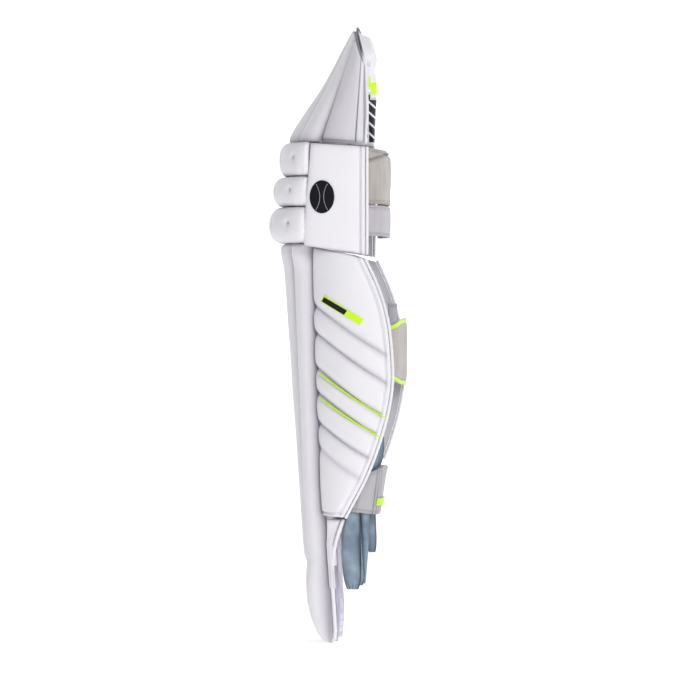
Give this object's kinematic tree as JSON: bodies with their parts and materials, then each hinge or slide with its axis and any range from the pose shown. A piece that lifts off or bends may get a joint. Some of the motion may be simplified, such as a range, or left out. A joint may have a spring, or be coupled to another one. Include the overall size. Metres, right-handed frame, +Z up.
{
  "type": "cricket batting pad",
  "caption": "Cricket leg guard for batting: long shin bolsters, three knee rolls, a folding top hat, soft side wings, stuffed lining and hook-and-loop straps.",
  "frame": {"origin": "middle of the flat back of the knee cushion, where the kneecap rests", "axes": "+Z up the leg towards the thigh, +Y towards the back of the leg, +X towards the outer side of the left leg"},
  "size_m": [0.1924, 0.1701, 0.7534],
  "materials": {
    "white_leather": "smooth coated leather",
    "cream_leather": "soft coated leather",
    "side_leather": "smooth coated leather",
    "liner_fabric": "woven lining",
    "mesh_fabric": "open knitted mesh",
    "webbing": "ribbed webbing",
    "elastic": "ribbed elastic",
    "neon": "matte coated piping",
    "black": "matte moulded patch",
    "hook_tape": "hook and loop tape",
    "foam": "firm padding core",
    "cane": "smooth cane",
    "board": "moulded sheet"
  },
  "bodies": {
    "knee": {"knee_board": "board", "knee_cushion": "liner_fabric", "knee_fold_strip": "side_leather", "knee_roll_bottom": "white_leather", "knee_roll_core_bottom": "foam", "knee_roll_core_middle": "foam", "knee_roll_core_top": "foam", "knee_roll_middle": "white_leather", "knee_roll_top": "white_leather", "knee_wing_inner": "white_leather"},
    "shin": {"calf_wing_inner": "white_leather", "instep_binding_inner": "white_leather", "instep_binding_outer": "white_leather", "instep_facing_inner": "side_leather", "instep_facing_outer": "side_leather", "instep_pad_inner": "mesh_fabric", "instep_pad_outer": "mesh_fabric", "liner_bolster_back_inner": "liner_fabric", "liner_bolster_back_outer": "liner_fabric", "liner_bolster_corner_inner": "liner_fabric", "liner_bolster_corner_outer": "liner_fabric", "liner_bolster_front_inner": "liner_fabric", "liner_bolster_front_outer": "liner_fabric", "liner_bolster_side_inner": "liner_fabric", "liner_bolster_side_outer": "liner_fabric", "shin_board": "board", "shin_bolster_centre": "white_leather", "shin_bolster_inner": "white_leather", "shin_bolster_outer": "white_leather", "shin_cane_centre": "cane", "shin_cane_inner": "cane", "shin_cane_outer": "cane"},
    "top_hat": {"top_hat_binding": "white_leather", "top_hat_board": "board", "top_hat_bolster_centre": "white_leather", "top_hat_bolster_inner": "white_leather", "top_hat_bolster_outer": "white_leather", "top_hat_cushion": "white_leather", "top_hat_fold_strip": "side_leather", "top_hat_side_inner": "side_leather", "top_hat_side_outer": "side_leather"},
    "calf_wing": {"calf_loop_patch": "hook_tape", "calf_wing_binding": "white_leather", "calf_wing_label": "black", "calf_wing_outer": "white_leather", "calf_wing_piping_lower": "neon", "calf_wing_piping_upper": "neon"},
    "knee_wing": {"knee_emblem": "black", "knee_loop_patch": "hook_tape", "knee_wing_binding": "white_leather", "knee_wing_outer": "white_leather"},
    "knee_strap": {"knee_strap_band": "webbing", "knee_strap_hook": "hook_tape", "knee_strap_pad": "cream_leather"},
    "calf_strap": {"calf_strap_hook": "hook_tape", "calf_strap_pad": "cream_leather", "calf_strap_tab": "elastic"},
    "ankle_strap": {"ankle_strap_hook": "hook_tape", "ankle_strap_pad": "cream_leather", "ankle_strap_pull": "neon"}
  },
  "joints": [
    {"name": "knee_flex", "type": "hinge", "parent": "knee", "child": "shin", "pos_m": [0, 0.035, -0.072], "axis": [1, 0, 0], "range_deg": [0, 12], "stiffness_Nm_per_rad": 4, "springref_deg": -5.73},
    {"name": "top_hat_flex", "type": "hinge", "parent": "knee", "child": "top_hat", "pos_m": [0, 0.04, 0.058], "axis": [-1, 0, 0], "range_deg": [0, 12], "stiffness_Nm_per_rad": 1.5, "springref_deg": -1.72},
    {"name": "calf_wing_flex", "type": "hinge", "parent": "shin", "child": "calf_wing", "pos_m": [0.05405, 0.00319, -0.236], "axis": [0, 0, -1], "range_deg": [0, 12], "stiffness_Nm_per_rad": 0.8},
    {"name": "knee_wing_flex", "type": "hinge", "parent": "knee", "child": "knee_wing", "pos_m": [0.0736, -0.007, -0.008], "axis": [0, 0, -1], "range_deg": [0, 20], "stiffness_Nm_per_rad": 0.5},
    {"name": "knee_strap_open", "type": "hinge", "parent": "knee", "child": "knee_strap", "pos_m": [-0.083, 0.057, 0], "axis": [0, 0, 1], "range_deg": [0, 80]},
    {"name": "calf_strap_open", "type": "hinge", "parent": "shin", "child": "calf_strap", "pos_m": [-0.079, 0.094, -0.198], "axis": [0, 0, 1], "range_deg": [0, 80]},
    {"name": "ankle_strap_open", "type": "hinge", "parent": "shin", "child": "ankle_strap", "pos_m": [-0.07, 0.053, -0.366], "axis": [0, 0.4891, 0.8722], "range_deg": [0, 80]}
  ]
}
